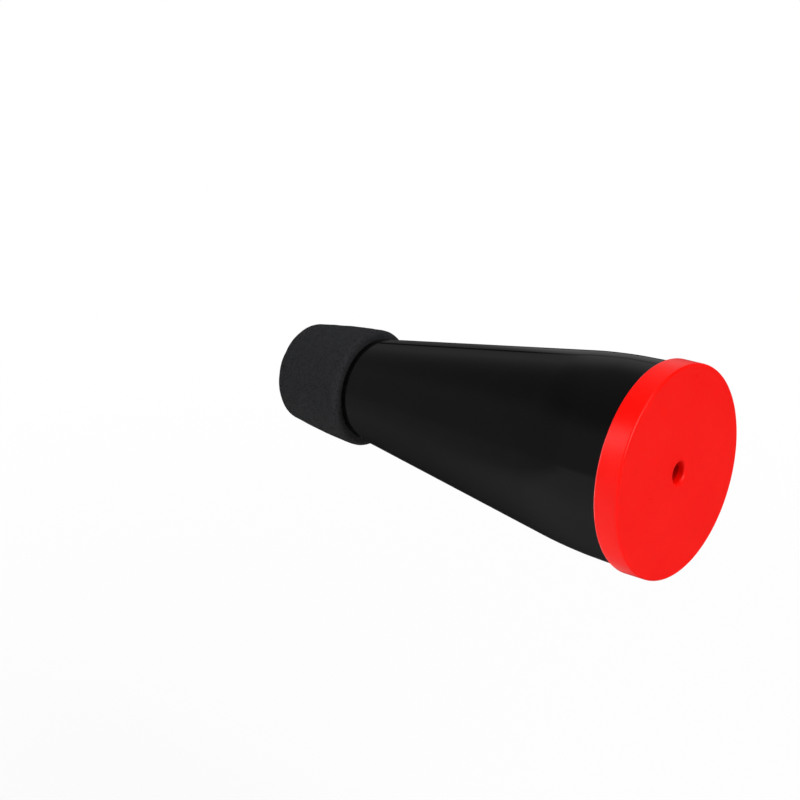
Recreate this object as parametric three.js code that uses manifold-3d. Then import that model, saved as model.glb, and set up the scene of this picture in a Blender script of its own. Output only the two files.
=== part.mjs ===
// Practice mute for a trumpet: a tapered hollow body, a foam seal round its neck, and a push-fit end cap
// that carries the vent tube. The axis is X, from the neck to the cap's face on the +X side.
// The origin is on the axis, at the middle of the seal. Lengths are in millimetres.
import * as THREE from 'three';
import { mergeVertices } from 'three/addons/utils/BufferGeometryUtils.js';
import Module from 'manifold-3d';

const wasm = await Module();
wasm.setup();

// Whole mute
const muteLength = 156;
const capDiameter = 68;
const neckDiameter = 24.2;
const fitClearance = 0.3;

// Body: a near-cylindrical end beside the cap, a soft bend, then a straight cone down to the neck
const bodyWall = 2.4;
const bodyEndLength = 20.5;
const bodyEndDrop = 0.75;
const bodyBendRadius = 150;
const bodyEdgeRadius = 0.4;
const neckLipLength = 3.5;
const neckLipRadius = 1.2;
const boreMouthRadius = 0.6;

// Foam seal, glued into a shallow seat round the neck
const sealLength = 30;
const sealSeatDepth = 1.4;
const sealFrontDiameter = 34;
const sealRearDiameter = 41;
const sealCrown = 0.5;
const sealCrownRadius = 60;
const sealEdgeRadius = 2.2;

// End cap: a flat face, a skirt over the body's rim and a plug ring inside it
const capHeight = 8.3;
const capProud = 1.35;
const capFaceThickness = 2.6;
const capEdgeRadius = 0.7;
const capBackEdgeRadius = 0.35;
const skirtWall = 2;
const plugLength = 8;
const plugWall = 1.7;
const plugLeadIn = 0.8;
const insideFillet = 0.8;

// Hub behind the vent hole, with ribs out to the plug ring
const hubLength = 14;
const hubWall = 2;
const hubEdgeRadius = 0.4;
const ribCount = 6;
const ribThickness = 1.5;
const ribHubDrop = 2;
const ribPlugHeight = 3;
const ribSink = 0.5;

// Vent tube, pushed into the hub from inside until it meets the back of the cap's face
const ventBore = 6.8;
const ventMouthRadius = 1;
const ventTubeWall = 1.6;
const ventTubeLength = 104;
const ventTubeEdgeRadius = 0.5;

// Facets
const aroundSteps = 60;
const edgeSteps = 1;
const cornerSteps = 4;
const bendSteps = 5;

// Places along the axis
const neckEndX = -sealLength / 2 - fitClearance - neckLipLength;
const seatFrontX = -sealLength / 2 - fitClearance;
const seatRearX = sealLength / 2 + fitClearance;
const capFaceX = neckEndX + muteLength;
const capInsideX = capFaceX - capFaceThickness;
const capBackX = capFaceX - capHeight;
const bodyShoulderX = capBackX - fitClearance;
const bendX = capBackX - bodyEndLength;
const plugEndX = capInsideX - plugLength;
const socketEndX = plugEndX - fitClearance;
const hubEndX = capInsideX - hubLength;

// Radii that neighbours share
const capRadius = capDiameter / 2;
const bodyEndRadius = capRadius - capProud;
const bendRadius = bodyEndRadius - bodyEndDrop;
const neckRadius = neckDiameter / 2;
const spigotRadius = capRadius - skirtWall - fitClearance;
const socketRadius = bodyEndRadius - bodyWall;
const plugRadius = socketRadius - fitClearance;
const ventRadius = ventBore / 2;
const ventTubeRadius = ventRadius + ventTubeWall;
const hubBoreRadius = ventTubeRadius + fitClearance;
const hubRadius = hubBoreRadius + hubWall;

// The straight cone's outer radius at a place along the axis
function coneRadius(x) {
  const share = (x - neckEndX) / (bendX - neckEndX);
  return THREE.MathUtils.lerp(neckRadius, bendRadius, share);
}

function seatRadius(x) {
  return coneRadius(x) - sealSeatDepth;
}

// Points of an arc that rounds a corner, or the corner itself where it is sharp
function roundedCorner(before, corner, after, rounding, steps) {
  if (rounding === 0) return [corner];
  const toBefore = before.clone().sub(corner);
  const toAfter = after.clone().sub(corner);
  const room = Math.min(toBefore.length(), toAfter.length()) / 2;
  toBefore.normalize();
  toAfter.normalize();
  const halfAngle = Math.acos(THREE.MathUtils.clamp(toBefore.dot(toAfter), -1, 1)) / 2;
  const tangent = Math.min(rounding / Math.tan(halfAngle), room);
  const radius = tangent * Math.tan(halfAngle);
  const start = corner.clone().addScaledVector(toBefore, tangent);
  const end = corner.clone().addScaledVector(toAfter, tangent);
  const inward = toBefore.clone().add(toAfter).normalize();
  const centre = corner.clone().addScaledVector(inward, radius / Math.sin(halfAngle));
  const from = start.clone().sub(centre);
  const sweep = Math.PI - 2 * halfAngle;
  const turn = Math.sign(from.cross(end.clone().sub(centre))) * sweep;
  const origin = new THREE.Vector2();
  const points = [];
  for (let i = 0; i <= steps; i += 1) {
    points.push(from.clone().rotateAround(origin, (turn * i) / steps).add(centre));
  }
  return points;
}

// A closed ring turned about X. Its corners are [place along X, radius, rounding, steps], in order round
// the section, with the outside running from the neck towards the cap.
function turnedRing(corners) {
  const sharp = corners.map(([x, radius]) => new THREE.Vector2(radius, x));
  const count = sharp.length;
  const profile = corners.flatMap(([, , rounding = 0, steps = edgeSteps], i) => {
    const before = sharp[(i + count - 1) % count];
    const after = sharp[(i + 1) % count];
    return roundedCorner(before, sharp[i], after, rounding, steps);
  });
  profile.push(profile[0].clone());
  const geometry = new THREE.LatheGeometry(profile, aroundSteps);
  geometry.rotateZ(-Math.PI / 2);
  return welded(geometry);
}

function welded(geometry) {
  geometry.deleteAttribute('normal');
  geometry.deleteAttribute('uv');
  return mergeVertices(geometry);
}

function toSolid(geometry) {
  return new wasm.Manifold(new wasm.Mesh({
    numProp: 3,
    vertProperties: new Float32Array(geometry.attributes.position.array),
    triVerts: new Uint32Array(geometry.index.array),
  }));
}

function toGeometry(solid) {
  const { vertProperties, triVerts } = solid.getMesh();
  const geometry = new THREE.BufferGeometry();
  geometry.setAttribute('position', new THREE.BufferAttribute(vertProperties, 3));
  geometry.setIndex(new THREE.BufferAttribute(triVerts, 1));
  return geometry;
}

function piece(name, geometry, material) {
  const shaded = geometry.toNonIndexed();
  shaded.computeVertexNormals();
  const mesh = new THREE.Mesh(shaded, material);
  mesh.name = name;
  return mesh;
}

// One moulding: the neck's lip and seal seat, the cone, the end under the cap's skirt and the hollow inside
function bodyShell() {
  return turnedRing([
    [neckEndX, seatRadius(neckEndX) - bodyWall, boreMouthRadius],
    [neckEndX, neckRadius, neckLipRadius, cornerSteps],
    [seatFrontX, coneRadius(seatFrontX), bodyEdgeRadius],
    [seatFrontX, seatRadius(seatFrontX)],
    [seatRearX, seatRadius(seatRearX)],
    [seatRearX, coneRadius(seatRearX), bodyEdgeRadius],
    [bendX, bendRadius, bodyBendRadius, bendSteps],
    [bodyShoulderX, bodyEndRadius, bodyEdgeRadius],
    [bodyShoulderX, spigotRadius],
    [capInsideX, spigotRadius, bodyEdgeRadius],
    [capInsideX, socketRadius, bodyEdgeRadius],
    [socketEndX, socketRadius],
    [bendX, bendRadius - bodyWall, bodyBendRadius, bendSteps],
    [seatRearX + sealSeatDepth, coneRadius(seatRearX + sealSeatDepth) - bodyWall],
    [seatRearX, seatRadius(seatRearX) - bodyWall],
  ]);
}

// Closed-cell foam ring, wider towards the cap, with rounded ends and a slight crown
function neckSeal() {
  const frontX = -sealLength / 2;
  const rearX = sealLength / 2;
  const crownRadius = (sealFrontDiameter + sealRearDiameter) / 4 + sealCrown;
  return turnedRing([
    [frontX, seatRadius(frontX) + fitClearance],
    [frontX, sealFrontDiameter / 2, sealEdgeRadius, cornerSteps],
    [0, crownRadius, sealCrownRadius, bendSteps],
    [rearX, sealRearDiameter / 2, sealEdgeRadius, cornerSteps],
    [rearX, seatRadius(rearX) + fitClearance],
  ]);
}

// The cap without its ribs: face, skirt, plug ring and hub in one section
function capMoulding() {
  return turnedRing([
    [capInsideX, ventRadius],
    [capInsideX, hubBoreRadius],
    [hubEndX, hubBoreRadius, hubEdgeRadius],
    [hubEndX, hubRadius, hubEdgeRadius],
    [capInsideX, hubRadius, insideFillet],
    [capInsideX, plugRadius - plugWall, insideFillet],
    [plugEndX, plugRadius - plugWall, hubEdgeRadius],
    [plugEndX, plugRadius, plugLeadIn],
    [capInsideX, plugRadius],
    [capInsideX, capRadius - skirtWall],
    [capBackX, capRadius - skirtWall, capBackEdgeRadius],
    [capBackX, capRadius, capBackEdgeRadius],
    [capFaceX, capRadius, capEdgeRadius, cornerSteps],
    [capFaceX, ventRadius, ventMouthRadius, cornerSteps],
  ]);
}

// A tapered rib from the hub to the plug ring, sunk a little into what it joins
function capRib(turn) {
  const innerRadius = hubRadius - ribSink;
  const outerRadius = plugRadius - plugWall + ribSink;
  const outline = new THREE.Shape([
    new THREE.Vector2(capInsideX + ribSink, innerRadius),
    new THREE.Vector2(hubEndX + ribHubDrop, innerRadius),
    new THREE.Vector2(capInsideX - ribPlugHeight, outerRadius),
    new THREE.Vector2(capInsideX + ribSink, outerRadius),
  ]);
  const rib = new THREE.ExtrudeGeometry(outline, { depth: ribThickness, bevelEnabled: false });
  rib.translate(0, 0, -ribThickness / 2);
  rib.rotateX(turn);
  return welded(rib);
}

function endCap() {
  let solid = toSolid(capMoulding());
  for (let i = 0; i < ribCount; i += 1) {
    solid = solid.add(toSolid(capRib((i / ribCount) * 2 * Math.PI)));
  }
  return toGeometry(solid);
}

function ventTube() {
  const innerEndX = capInsideX - ventTubeLength;
  return turnedRing([
    [innerEndX, ventRadius, ventTubeEdgeRadius],
    [innerEndX, ventTubeRadius, ventTubeEdgeRadius],
    [capInsideX, ventTubeRadius],
    [capInsideX, ventRadius],
  ]);
}

const blackGloss = new THREE.MeshStandardMaterial({ color: 0x131314, roughness: 0.14, metalness: 0 });
const redPlastic = new THREE.MeshStandardMaterial({ color: 0xf91e19, roughness: 0.32, metalness: 0 });
const greyFoam = new THREE.MeshStandardMaterial({ color: 0x2b2c2e, roughness: 0.95, metalness: 0 });

const group = new THREE.Group();
group.add(piece('body_shell', bodyShell(), blackGloss));
group.add(piece('neck_seal', neckSeal(), greyFoam));

const cap = new THREE.Group();
cap.add(piece('end_cap', endCap(), redPlastic));
cap.add(piece('vent_tube', ventTube(), redPlastic));
group.add(cap);

export default group;
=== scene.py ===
# Practice mute: black tapered body, foam seal on the neck, red push-fit cap with a vent tube.
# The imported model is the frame. Sizes are in millimetres until a mesh is made, then metres.
import math

import bmesh
import bpy
from mathutils import Matrix, Vector, noise


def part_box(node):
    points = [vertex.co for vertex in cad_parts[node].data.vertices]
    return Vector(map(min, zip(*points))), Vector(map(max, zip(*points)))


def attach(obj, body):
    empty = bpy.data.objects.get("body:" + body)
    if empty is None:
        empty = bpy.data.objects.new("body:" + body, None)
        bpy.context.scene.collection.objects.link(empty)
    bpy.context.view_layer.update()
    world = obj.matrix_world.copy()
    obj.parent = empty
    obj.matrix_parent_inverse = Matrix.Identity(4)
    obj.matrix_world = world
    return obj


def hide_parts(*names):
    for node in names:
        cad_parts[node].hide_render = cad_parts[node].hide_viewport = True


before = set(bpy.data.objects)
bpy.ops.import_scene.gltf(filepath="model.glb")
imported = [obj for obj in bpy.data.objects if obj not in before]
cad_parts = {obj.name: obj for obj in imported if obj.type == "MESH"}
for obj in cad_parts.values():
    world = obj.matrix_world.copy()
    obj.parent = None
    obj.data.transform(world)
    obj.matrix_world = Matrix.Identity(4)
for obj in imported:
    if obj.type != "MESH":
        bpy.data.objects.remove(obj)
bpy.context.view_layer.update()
mm = 0.001
scene = bpy.context.scene
scene.view_settings.view_transform = "Standard"


# Size of a CAD node in millimetres: ends along X and largest radius
def nodeSpan(node):
    low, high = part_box(node)
    return low[0] / mm, high[0] / mm, high[2] / mm


neckEndX, bodyRimX, bodyWidest = nodeSpan("body_shell")
sealFrontX, sealRearX, _ = nodeSpan("neck_seal")
hubEndX, capFaceX, capRadius = nodeSpan("end_cap")
tubeEndX, capInsideX, tubeRadius = nodeSpan("vent_tube")


# Where the photograph was taken from, fitted to the cap's two edges and the body's outline
camera = {
    "focalPixels": 1900,
    "picturePixels": 800,
    "sensorWidth": 36,
    "azimuth": 40.0,
    "elevation": 19.34,
    "capRightOfAxis": 84.81,  # the cap's face from the camera, in its own directions
    "capBelowAxis": 22.20,
    "capAway": 576.4,
    "clipStart": 10,
    "clipEnd": 20000,
}


def addCamera():
    turn, lift = math.radians(camera["azimuth"]), math.radians(camera["elevation"])
    right = Vector((math.cos(turn), math.sin(turn), 0))
    back = Vector((math.sin(turn) * math.cos(lift), -math.cos(turn) * math.cos(lift), math.sin(lift)))
    up = back.cross(right)
    place = Vector((capFaceX, 0, 0)) - right * camera["capRightOfAxis"]
    place = place + up * camera["capBelowAxis"] + back * camera["capAway"]
    data = bpy.data.cameras.new("camera")
    data.sensor_width = camera["sensorWidth"]
    data.lens = camera["sensorWidth"] * camera["focalPixels"] / camera["picturePixels"]
    data.clip_start, data.clip_end = camera["clipStart"] * mm, camera["clipEnd"] * mm
    shot = bpy.data.objects.new("camera", data)
    shot.location = place * mm
    shot.rotation_mode = "QUATERNION"
    shot.rotation_quaternion = back.to_track_quat("Z", "Y")
    scene.collection.objects.link(shot)
    scene.camera = shot
    print("camera at", [round(value, 4) for value in shot.location], "lens", round(data.lens, 1))


class Socket:  # an output socket; + - * on it add Math nodes
    def __init__(self, shader, output):
        self.shader = shader
        self.output = output

    def calc(self, operation, first, second):
        return self.shader.add("ShaderNodeMath", {"operation": operation}, {0: first, 1: second})

    def __add__(self, other):
        return self.calc("ADD", self, other)

    def __radd__(self, other):
        return self.calc("ADD", other, self)

    def __sub__(self, other):
        return self.calc("SUBTRACT", self, other)

    def __rsub__(self, other):
        return self.calc("SUBTRACT", other, self)

    def __mul__(self, other):
        return self.calc("MULTIPLY", self, other)

    def __rmul__(self, other):
        return self.calc("MULTIPLY", other, self)


class Shader:  # the node tree of a material or the world
    def __init__(self, owner):
        owner.use_nodes = True
        self.tree = owner.node_tree
        self.tree.nodes.clear()

    # Any node: its settings first, then the values or links of its sockets, by name or number
    def add(self, kind, settings=None, values=None, output=0):
        node = self.tree.nodes.new(kind)
        for name, setting in (settings or {}).items():
            setattr(node, name, setting)
        for name, value in (values or {}).items():
            if isinstance(value, Socket):
                self.tree.links.new(value.output, node.inputs[name])
            else:
                node.inputs[name].default_value = value
        return Socket(self, node.outputs[output]) if node.outputs else None


# Object coordinates in millimetres, so noise scales are so many features a millimetre
def millimetres(shader, stretch=(1, 1, 1)):
    place = shader.add("ShaderNodeTexCoord", output="Object")
    scale = [factor / mm for factor in stretch]
    return shader.add("ShaderNodeVectorMath", {"operation": "MULTIPLY"}, {0: place, 1: scale})


def addNoise(shader, place, scale, detail=2, roughness=0.5):
    values = {"Vector": place, "Scale": scale, "Detail": detail, "Roughness": roughness}
    return shader.add("ShaderNodeTexNoise", None, values)


# Goes smoothly from fromValue to toValue while value goes from low to high
def ramp(shader, value, low, high, fromValue=0, toValue=1):
    values = {0: value, 1: low, 2: high, 3: fromValue, 4: toValue}
    return shader.add("ShaderNodeMapRange", {"interpolation_type": "SMOOTHSTEP"}, values)


def mixColour(shader, factor, first, second):
    values = {0: factor, 6: (*first, 1), 7: (*second, 1)}
    return shader.add("ShaderNodeMix", {"data_type": "RGBA"}, values, output=2)


def addBump(shader, height, depth, under=None):
    values = {"Height": height, "Distance": depth * mm, "Strength": 1}
    if under is not None:
        values["Normal"] = under
    return shader.add("ShaderNodeBump", None, values)


def finish(shader, values):
    surface = shader.add("ShaderNodeBsdfPrincipled", None, values)
    shader.add("ShaderNodeOutputMaterial", None, {"Surface": surface})


plasticIor = 1.5

# Polished black, with flow waves from moulding, finger smudges and hairlines along the body.
# A scale is features a millimetre, and a range is where in the noise the mark starts and is full.
bodyPlastic = {
    "colour": (0.0006, 0.0006, 0.0007),
    "scuffColour": (0.0020, 0.0020, 0.0022),
    "roughness": 0.075,
    "flowScale": 0.035,
    "flowDepth": 0.02,
    "smudgeScale": 0.06,
    "smudgeRange": (0.5, 0.72),
    "smudgeRoughness": 0.05,
    "smudgeTint": 0.4,
    "hairlineScale": 3.2,
    "hairlineStretch": (0.05, 1, 1),
    "hairlineRange": (0.6, 0.75),
    "hairlineRoughness": 0.04,
    "hairlineDepth": 0.0006,
    "speckleScale": 5,
    "speckleRange": (0.62, 0.8),
    "speckleTint": 0.3,
}


def makeBodyPlastic():
    plastic = bodyPlastic
    material = bpy.data.materials.new("bodyPlastic")
    shader = Shader(material)
    place = millimetres(shader)
    along = millimetres(shader, plastic["hairlineStretch"])
    flow = addNoise(shader, place, plastic["flowScale"], 1)
    smudge = ramp(shader, addNoise(shader, place, plastic["smudgeScale"], 4, 0.6), *plastic["smudgeRange"])
    lines = ramp(shader, addNoise(shader, along, plastic["hairlineScale"], 3, 0.7), *plastic["hairlineRange"])
    speckle = ramp(shader, addNoise(shader, place, plastic["speckleScale"], 2), *plastic["speckleRange"])
    rough = plastic["roughness"] + plastic["smudgeRoughness"] * smudge
    rough = rough + plastic["hairlineRoughness"] * lines
    tint = smudge * plastic["smudgeTint"] + speckle * plastic["speckleTint"]
    colour = mixColour(shader, tint, plastic["colour"], plastic["scuffColour"])
    waves = addBump(shader, flow, plastic["flowDepth"])
    fine = addBump(shader, lines, plastic["hairlineDepth"], waves)
    finish(shader, {"Base Color": colour, "Roughness": rough, "IOR": plasticIor, "Normal": fine})
    return material


# Semi-gloss red, with a slightly cloudy colour, a fine grain and scuffs polished into it
capPlastic = {
    "colour": (0.91, 0.0022, 0.0002),
    "paleColour": (0.93, 0.0034, 0.0005),
    "cloudScale": 0.07,
    "cloudRange": (0.35, 0.7),
    "gloss": 0.20,
    "roughness": 0.27,
    "roughnessChange": 0.07,
    "scuffScale": 1.6,
    "scuffStretch": (1, 0.12, 1),
    "scuffRange": (0.62, 0.78),
    "scuffPolish": 0.05,
    "grainScale": 4.5,
    "grainDepth": 0.004,
    "grainStretch": (1, 1, 1),
}
# The tube is a darker copy of the cap's red: painted shade, so that the vent hole looks dark deep inside
tubePlasticWithPaintedShade = {
    **capPlastic,
    "colour": (0.52, 0.0010, 0.0002),
    "paleColour": (0.56, 0.0016, 0.0003),
    "grainStretch": (0.1, 1, 1),  # drawn out along the tube
}


def makeRedPlastic(name, plastic):
    material = bpy.data.materials.new(name)
    shader = Shader(material)
    place = millimetres(shader)
    cloud = addNoise(shader, place, plastic["cloudScale"], 3, 0.55)
    grain = addNoise(shader, millimetres(shader, plastic["grainStretch"]), plastic["grainScale"], 3, 0.6)
    across = millimetres(shader, plastic["scuffStretch"])
    scuffs = ramp(shader, addNoise(shader, across, plastic["scuffScale"], 4, 0.7), *plastic["scuffRange"])
    rough = plastic["roughness"] + plastic["roughnessChange"] * cloud - plastic["scuffPolish"] * scuffs
    tint = ramp(shader, cloud, *plastic["cloudRange"])
    colour = mixColour(shader, tint, plastic["colour"], plastic["paleColour"])
    skin = addBump(shader, grain, plastic["grainDepth"])
    finish(shader, {
        "Base Color": colour, "Roughness": rough, "IOR": plasticIor,
        "Specular IOR Level": plastic["gloss"], "Normal": skin,
    })
    return material


# Charcoal closed-cell foam: open pores on a lumpy skin, with painted shade darkening the pores
foam = {
    "colour": (0.020, 0.0205, 0.022),
    "paintedPoreShade": (0.006, 0.006, 0.007),
    "poreScale": 1.5,
    "poreRange": (0.12, 0.5),
    "coarseScale": 0.35,
    "fineScale": 6,
    "heights": (0.6, 0.25, 0.15),  # shares of the pores, the coarse lumps and the fine ones
    "poreShadeAndLumpTints": (0.8, 0.2),  # shares of the painted shade in the pores and of the coarse lumps' tone
    "depth": 0.22,
    "roughness": 0.92,
    "gloss": 0.3,
    "ior": 1.45,
}


def makeFoam():
    material = bpy.data.materials.new("sealFoam")
    shader = Shader(material)
    place = millimetres(shader)
    cells = shader.add("ShaderNodeTexVoronoi", {"feature": "F1"}, {"Vector": place, "Scale": foam["poreScale"]})
    pits = ramp(shader, cells, *foam["poreRange"])
    coarse = addNoise(shader, place, foam["coarseScale"], 3, 0.6)
    fine = addNoise(shader, place, foam["fineScale"], 2)
    pitHeight, coarseHeight, fineHeight = foam["heights"]
    height = pits * pitHeight + coarse * coarseHeight + fine * fineHeight
    pitShade, coarseTint = foam["poreShadeAndLumpTints"]
    # Painted shade: the colour darkens towards the middle of each pore, where the bump is lowest
    colour = mixColour(shader, pits * pitShade + coarse * coarseTint, foam["paintedPoreShade"], foam["colour"])
    skin = addBump(shader, height, foam["depth"])
    finish(shader, {
        "Base Color": colour, "Roughness": foam["roughness"], "IOR": foam["ior"],
        "Specular IOR Level": foam["gloss"], "Normal": skin,
    })
    return material


# How every turned piece is made
turning = {
    "steps": 192,
    "holdGap": 0.12,  # a point just past each rounded corner keeps the faces beside it flat
    "longestHold": 0.9,  # share of an edge past which it gets no such point
    "cornerSegments": 7,
    "sharpAngle": 35,
}


# Rounds one corner of a section, with a holding point on each side of it
def roundCorner(bm, corner, cut):
    for edge in list(corner.link_edges):
        share = (cut + turning["holdGap"] * mm) / edge.calc_length()
        if share < turning["longestHold"]:
            bmesh.utils.edge_split(edge, corner, share)
    bmesh.ops.bevel(
        bm, geom=[corner], offset=cut, offset_type="OFFSET", segments=turning["cornerSegments"],
        profile=0.5, affect="VERTICES", material=-1,
    )


# A ring turned about X. Corners are (place along X, radius, how far from the corner the rounding starts)
def turnSection(corners, spacing=None):
    bm = bmesh.new()
    verts = [bm.verts.new((x * mm, 0, radius * mm)) for x, radius, cut in corners]
    for here, there in zip(verts, verts[1:] + verts[:1]):
        bm.edges.new((here, there))
    for vert, (x, radius, cut) in zip(verts, corners):
        if cut:
            roundCorner(bm, vert, cut * mm)
    if spacing:
        for edge in list(bm.edges):
            cuts = int(edge.calc_length() / (spacing * mm))
            if cuts:
                bmesh.ops.subdivide_edges(bm, edges=[edge], cuts=cuts)
    section = bm.verts[:] + bm.edges[:]
    bmesh.ops.spin(
        bm, geom=section, cent=(0, 0, 0), axis=(1, 0, 0), angle=math.tau,
        steps=turning["steps"], use_merge=True,
    )
    bmesh.ops.recalc_face_normals(bm, faces=bm.faces)
    return bm


def makePiece(name, bm, material, body, node):
    sharp = math.radians(turning["sharpAngle"])
    for face in bm.faces:
        face.smooth = True
    for edge in bm.edges:
        edge.smooth = edge.calc_face_angle(0) < sharp
    mesh = bpy.data.meshes.new(name)
    bm.to_mesh(mesh)
    bm.free()
    mesh.materials.append(material)
    piece = bpy.data.objects.new(name, mesh)
    scene.collection.objects.link(piece)
    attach(piece, body)
    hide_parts(node)
    print(name, "has", len(mesh.polygons), "faces")
    return piece


# One moulding: neck lip and seal seat, cone, and a stepped rim that goes inside the cap's skirt
bodyShape = {
    "neckRadius": 12.1,
    "boreMouth": 0.6,
    "lipRounding": 1.2,
    "seatDepth": 1.4,
    "seatClearance": 0.3,
    "wall": 2.4,
    "endLength": 20.5,  # from the cap's back edge to the bend
    "endDrop": 0.75,
    "bendReach": 8.5,
    "capGap": 0.3,
    "spigotDrop": 0.95,
    "socketDepth": 8.3,
    "edge": 0.35,
}
capHeight = 8.3  # the body stops short of the cap's back edge, so both pieces need it
capBackX = capFaceX - capHeight
bendX = capBackX - bodyShape["endLength"]
bendRadius = bodyWidest - bodyShape["endDrop"]


# The straight cone's outer radius at a place along the axis
def coneRadius(x):
    neckRadius = bodyShape["neckRadius"]
    share = (x - neckEndX) / (bendX - neckEndX)
    return neckRadius + (bendRadius - neckRadius) * share


def makeBody():
    shape = bodyShape
    wall, edge, seatDepth = shape["wall"], shape["edge"], shape["seatDepth"]
    seatFrontX = sealFrontX - shape["seatClearance"]
    seatRearX = sealRearX + shape["seatClearance"]
    innerStepX = seatRearX + seatDepth
    shoulderX = capBackX - shape["capGap"]
    spigotRadius = bodyWidest - shape["spigotDrop"]
    socketRadius = bodyWidest - wall
    corners = [
        (neckEndX, coneRadius(neckEndX) - seatDepth - wall, shape["boreMouth"]),
        (neckEndX, coneRadius(neckEndX), shape["lipRounding"]),
        (seatFrontX, coneRadius(seatFrontX), edge),
        (seatFrontX, coneRadius(seatFrontX) - seatDepth, 0),
        (seatRearX, coneRadius(seatRearX) - seatDepth, 0),
        (seatRearX, coneRadius(seatRearX), edge),
        (bendX, bendRadius, shape["bendReach"]),
        (shoulderX, bodyWidest, edge),
        (shoulderX, spigotRadius, 0),
        (bodyRimX, spigotRadius, edge),
        (bodyRimX, socketRadius, edge),
        (bodyRimX - shape["socketDepth"], socketRadius, 0),
        (bendX, bendRadius - wall, shape["bendReach"]),
        (innerStepX, coneRadius(innerStepX) - wall, 0),
        (seatRearX, coneRadius(seatRearX) - seatDepth - wall, 0),
    ]
    bm = turnSection(corners)
    makePiece("mute_body", bm, makeBodyPlastic(), "shell", "body_shell")


# Foam ring round the neck, wider towards the cap, with rounded ends, a slight crown and an uneven skin
sealShape = {
    "frontRadius": 17,
    "rearRadius": 20.5,
    "crown": 0.5,
    "rounding": 2.2,
    "crownReach": 6,
    "glueGap": 0.02,  # the foam is glued down, so it meets the body's seat
    "spacing": 0.7,
    "unevenness": 0.12,
    "unevenScale": 0.16,
    "freeSkin": 0.5,  # the skin is uneven only where it is this far outside the cone
}


def makeSeal():
    shape = sealShape
    seatDrop = bodyShape["seatDepth"] - shape["glueGap"]
    crownRadius = (shape["frontRadius"] + shape["rearRadius"]) / 2 + shape["crown"]
    corners = [
        (sealFrontX, coneRadius(sealFrontX) - seatDrop, 0),
        (sealFrontX, shape["frontRadius"], shape["rounding"]),
        ((sealFrontX + sealRearX) / 2, crownRadius, shape["crownReach"]),
        (sealRearX, shape["rearRadius"], shape["rounding"]),
        (sealRearX, coneRadius(sealRearX) - seatDrop, 0),
    ]
    bm = turnSection(corners, shape["spacing"])
    for vert in bm.verts:
        place = vert.co / mm
        lift = noise.fractal(place * shape["unevenScale"], 0.8, 2.0, 3) * shape["unevenness"] * mm
        outward = Vector((0, place.y, place.z)).normalized()
        if math.hypot(place.y, place.z) - coneRadius(place.x) > shape["freeSkin"]:
            vert.co += outward * (lift - shape["unevenness"] * mm)
    piece = makePiece("foam_seal", bm, makeFoam(), "shell", "neck_seal")


# Flat face, skirt over the body's rim, plug ring inside it, and a hub with ribs that holds the vent tube
capShape = {
    "edge": 0.7,
    "backEdge": 0.5,
    "skirtWall": 2.0,
    "plugRadius": 29.95,
    "plugWall": 1.7,
    "plugLength": 8,
    "leadIn": 0.8,
    "fillet": 0.8,
    "hubWall": 2,
    "hubGap": 0.3,
    "hubEdge": 0.4,
    "ventRadius": 3.4,
    "ventMouth": 1.0,
    "ribs": 6,
    "ribThickness": 1.5,
    "ribHubDrop": 2,
    "ribPlugHeight": 3,
    "ribSink": 0.5,
    "ribEdge": 0.25,
    "ribEdgeSegments": 2,
}
hubBore = tubeRadius + capShape["hubGap"]
hubRadius = hubBore + capShape["hubWall"]
plugInner = capShape["plugRadius"] - capShape["plugWall"]


# Tapered ribs from the hub to the plug ring, sunk a little into what they join
def addRibs(bm):
    shape = capShape
    inner, outer = hubRadius - shape["ribSink"], plugInner + shape["ribSink"]
    floorX = capInsideX + shape["ribSink"]
    outline = [
        (floorX, inner),
        (hubEndX + shape["ribHubDrop"], inner),
        (capInsideX - shape["ribPlugHeight"], outer),
        (floorX, outer),
    ]
    half = shape["ribThickness"] / 2
    for i in range(shape["ribs"]):
        rib = bmesh.new()
        plate = rib.faces.new([rib.verts.new((x * mm, radius * mm, -half * mm)) for x, radius in outline])
        grown = bmesh.ops.extrude_face_region(rib, geom=[plate])
        sides = [item for item in grown["geom"] if isinstance(item, bmesh.types.BMVert)]
        bmesh.ops.translate(rib, verts=sides, vec=(0, 0, 2 * half * mm))
        bmesh.ops.bevel(
            rib, geom=rib.edges[:], offset=shape["ribEdge"] * mm, offset_type="OFFSET",
            segments=shape["ribEdgeSegments"], profile=0.5, affect="EDGES", material=-1,
        )
        bmesh.ops.recalc_face_normals(rib, faces=rib.faces)
        turn = Matrix.Rotation(math.tau * i / shape["ribs"], 4, "X")
        bmesh.ops.transform(rib, matrix=turn, verts=rib.verts)
        part = bpy.data.meshes.new("rib")
        rib.to_mesh(part)
        rib.free()
        bm.from_mesh(part)
        bpy.data.meshes.remove(part)


def makeCap():
    shape = capShape
    plugEndX = capInsideX - shape["plugLength"]
    skirtInner = capRadius - shape["skirtWall"]
    corners = [
        (capInsideX, shape["ventRadius"], 0),
        (capInsideX, hubBore, 0),
        (hubEndX, hubBore, shape["hubEdge"]),
        (hubEndX, hubRadius, shape["hubEdge"]),
        (capInsideX, hubRadius, shape["fillet"]),
        (capInsideX, plugInner, shape["fillet"]),
        (plugEndX, plugInner, shape["hubEdge"]),
        (plugEndX, shape["plugRadius"], shape["leadIn"]),
        (capInsideX, shape["plugRadius"], 0),
        (capInsideX, skirtInner, 0),
        (capBackX, skirtInner, shape["backEdge"]),
        (capBackX, capRadius, shape["backEdge"]),
        (capFaceX, capRadius, shape["edge"]),
        (capFaceX, shape["ventRadius"], shape["ventMouth"]),
    ]
    bm = turnSection(corners)
    addRibs(bm)
    return makePiece("red_cap", bm, makeRedPlastic("capPlastic", capPlastic), "cap", "end_cap")


# Vent tube, pushed into the hub up to the back of the cap's face
tubeShape = {"edge": 0.5}


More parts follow.
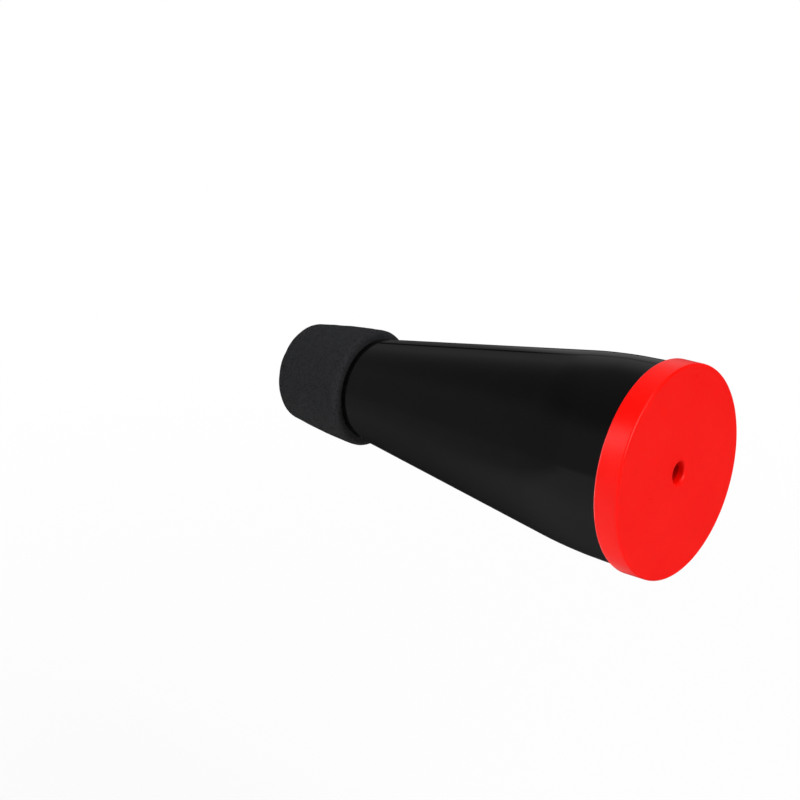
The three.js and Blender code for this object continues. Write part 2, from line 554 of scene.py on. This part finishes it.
def makeTube():
    corners = [
        (tubeEndX, capShape["ventRadius"], tubeShape["edge"]),
        (tubeEndX, tubeRadius, tubeShape["edge"]),
        (capInsideX, tubeRadius, 0),
        (capInsideX, capShape["ventRadius"], 0),
    ]
    # The tube's darker red is painted shade for the inside of the vent hole
    material = makeRedPlastic("tubePlasticWithPaintedShade", tubePlasticWithPaintedShade)
    makePiece("vent_pipe", turnSection(corners), material, "cap", "vent_tube")


# White paper under the mute, which fades into the white background
floorShape = {
    "drop": 200,
    "radius": 1500,
    "colour": 0.88,
    "whiteShare": 0.86,  # how much of the background's white shows in the floor near the mute
    "fadeStart": 250,
    "fadeEnd": 700,
}


# 1 for the rays that see the background: the camera's, and those that gloss and glass send on
def backgroundRays(shader):
    seen = shader.add("ShaderNodeLightPath", output="Is Camera Ray")
    glossy = shader.add("ShaderNodeLightPath", output="Is Glossy Ray")
    clear = shader.add("ShaderNodeLightPath", output="Is Transmission Ray")
    return seen + glossy + clear


def addStage(name, bm, material):
    mesh = bpy.data.meshes.new(name)
    bm.to_mesh(mesh)
    bm.free()
    mesh.materials.append(material)
    stage = bpy.data.objects.new(name, mesh)
    scene.collection.objects.link(stage)
    return stage


def makeFloor():
    shape = floorShape
    material = bpy.data.materials.new("floorPaper")
    shader = Shader(material)
    place = millimetres(shader)
    distance = shader.add("ShaderNodeVectorMath", {"operation": "LENGTH"}, {0: place}, output="Value")
    fade = ramp(shader, distance, shape["fadeStart"], shape["fadeEnd"], shape["whiteShare"], 1)
    paper = shader.add("ShaderNodeBsdfDiffuse", None, {"Color": (*[shape["colour"]] * 3, 1)})
    white = shader.add("ShaderNodeEmission", None, {"Color": (1, 1, 1, 1), "Strength": 1})
    mixed = shader.add("ShaderNodeMixShader", None, {0: backgroundRays(shader) * fade, 1: paper, 2: white})
    shader.add("ShaderNodeOutputMaterial", None, {"Surface": mixed})

    bm = bmesh.new()
    bmesh.ops.create_circle(bm, cap_ends=True, segments=96, radius=shape["radius"] * mm)
    bmesh.ops.translate(bm, verts=bm.verts, vec=(0, 0, -shape["drop"] * mm))
    addStage("floor", bm, material)


# A black gloss surface is photographed in a dim grey room, so that it stays black. Only gloss sees this one.
# Its greys are strengths of 0 to 1. Its heights and places are shares of the radius, and the ground's millimetres.
room = {
    "radius": 1300,
    "wall": 0.20,
    "ceiling": 0.11,
    "ceilingHeights": (0.48, 0.76),  # where the wall turns into the ceiling
    "behindPlaces": (-0.615, -0.54),  # along X, where the wall behind the neck starts to darken
    "nearBehind": 0.85,  # shares of the wall's grey behind the neck, near and far
    "farBehind": 0.45,
    "farBehindHeights": (0.25, 0.55),  # where the far share turns into the near one
    "sides": (-0.3, 0.3),  # from the near side to the far one
    "seam": 0.27,  # height of a dark seam in the far wall
    "seamWidth": 0.06,
    "seamDarkness": 0.10,
    "groundNear": 0.32,  # the ground falls off behind and under the mute
    "groundFar": 0.04,
    "groundPlaces": (-230, 130),
    "groundBehind": 0.6,  # share of the ground's grey behind the neck
    "groundBehindPlaces": (-130, 30),
    "groundBehindSlant": 0.65,
    "groundLift": 2,  # above the floor
    "wallFoot": (70, 150),  # heights over the ground where it turns into the wall
}


def shares(name):
    return [share * room["radius"] for share in room[name]]


def makeRoom():
    material = bpy.data.materials.new("greyRoom")
    shader = Shader(material)
    place = millimetres(shader)
    x, y, z = [shader.add("ShaderNodeSeparateXYZ", None, {0: place}, output=axis) for axis in "XYZ"]

    wall = ramp(shader, z, *shares("ceilingHeights"), room["wall"], room["ceiling"])
    farBehind = ramp(shader, z, *shares("farBehindHeights"), room["farBehind"], room["nearBehind"])
    behind = ramp(shader, y, *shares("sides"), room["nearBehind"], farBehind)
    wall = wall * ramp(shader, x, *shares("behindPlaces"), behind, 1)

    radius, seam, width = room["radius"], room["seam"], room["seamWidth"]
    above = ramp(shader, z, (seam - width) * radius, seam * radius)
    below = ramp(shader, z, seam * radius, (seam + width) * radius, 1, 0)
    far = ramp(shader, y, 0, shares("sides")[1])
    wall = wall - above * below * far * room["seamDarkness"]

    ground = ramp(shader, y, *room["groundPlaces"], room["groundNear"], room["groundFar"])
    nearY = shader.add("ShaderNodeMath", {"operation": "MINIMUM"}, {0: y, 1: 0})
    slanted = x - nearY * room["groundBehindSlant"]
    ground = ground * ramp(shader, slanted, *room["groundBehindPlaces"], room["groundBehind"], 1)

    groundZ = room["groundLift"] - floorShape["drop"]
    isWall = ramp(shader, z, *[groundZ + height for height in room["wallFoot"]])
    strength = ground + isWall * (wall - ground)
    glow = shader.add("ShaderNodeEmission", None, {"Color": (1, 1, 1, 1), "Strength": strength})
    shader.add("ShaderNodeOutputMaterial", None, {"Surface": glow})

    bm = bmesh.new()
    bmesh.ops.create_uvsphere(bm, u_segments=64, v_segments=32, radius=radius * mm)
    for vert in bm.verts:
        vert.co.z = max(vert.co.z, (groundZ - 1) * mm)
    cards = addStage("greyRoom", bm, material)
    cards.visible_camera = False
    cards.visible_diffuse = False
    cards.visible_transmission = False
    cards.visible_volume_scatter = False
    cards.visible_shadow = False


world = {"ambient": 0.06}

# Large soft lamps round the set, which gloss doesn't show: azimuth, elevation, strength and spread in degrees.
# Azimuth is counted from +X towards +Y. A strength of 1 makes a white surface that faces the lamp just white.
softLamps = {
    "front": (8, 45, 0.55, 30),
    "left": (-95, -6, 0.92, 36),
    "top": (90, 84, 0.34, 36),
    "far": (140, 28, 0.20, 40),
}

# A square panel, which gloss shows: azimuth, elevation, strength, distance and size
keyPanel = (-17, 38, 0.33, 1100, 650)

# Panels for highlights on the cap alone, which light nothing else
capPanels = {
    "softBox": (-134, 33, 0.12, 1000, 300),
    "edgeCard": (-26, 32, 0.58, 1100, 640),
    "cardBehind": (-150, 13, 0.58, 800, 300),
    "lowCardBehind": (-160, -20, 0.58, 340, 165),
    "cardBelow": (175, -51, 0.36, 240, 220),
    "farCard": (131, 16, 0.023, 1000, 400),
}


def makeWorld():
    backdrop = bpy.data.worlds.new("studio")
    scene.world = backdrop
    backdrop.cycles.sampling_method = "NONE"
    shader = Shader(backdrop)
    strength = world["ambient"] + backgroundRays(shader) * (1 - world["ambient"])
    light = shader.add("ShaderNodeBackground", None, {"Color": (1, 1, 1, 1), "Strength": strength})
    shader.add("ShaderNodeOutputWorld", None, {"Surface": light})


def addLamp(name, kind, azimuth, elevation, distance):
    turn, lift = math.radians(azimuth), math.radians(elevation)
    towards = Vector((math.cos(turn) * math.cos(lift), math.sin(turn) * math.cos(lift), math.sin(lift)))
    lamp = bpy.data.objects.new(name, bpy.data.lights.new(name, kind))
    lamp.location = (towards * distance + Vector((capFaceX, 0, 0))) * mm
    lamp.rotation_mode = "QUATERNION"
    lamp.rotation_quaternion = towards.to_track_quat("Z", "Y")
    scene.collection.objects.link(lamp)
    return lamp


def addSoftLamp(name, azimuth, elevation, strength, spread):
    lamp = addLamp(name, "SUN", azimuth, elevation, room["radius"])
    lamp.data.energy = strength * math.pi
    lamp.data.angle = math.radians(spread)
    lamp.visible_glossy = False  # gloss shows the grey room instead


def addPanel(name, azimuth, elevation, strength, distance, size):
    lamp = addLamp(name, "AREA", azimuth, elevation, distance)
    lamp.data.shape = "SQUARE"
    lamp.data.size = size * mm
    lamp.data.energy = strength * (math.pi * distance * mm) ** 2
    lamp.visible_camera = False
    return lamp


def addCapPanels(cap):
    capOnly = bpy.data.collections.new("capOnly")
    capOnly.objects.link(cap)
    for name, setting in capPanels.items():
        panel = addPanel(name, *setting)
        panel.visible_diffuse = False
        panel.light_linking.receiver_collection = capOnly


def makeStudio(cap):
    makeFloor()
    makeRoom()
    makeWorld()
    for name, setting in softLamps.items():
        addSoftLamp(name, *setting)
    addPanel("key", *keyPanel)
    addCapPanels(cap)
    print("studio lit")


addCamera()
makeBody()
makeSeal()
cap = makeCap()
makeTube()
makeStudio(cap)
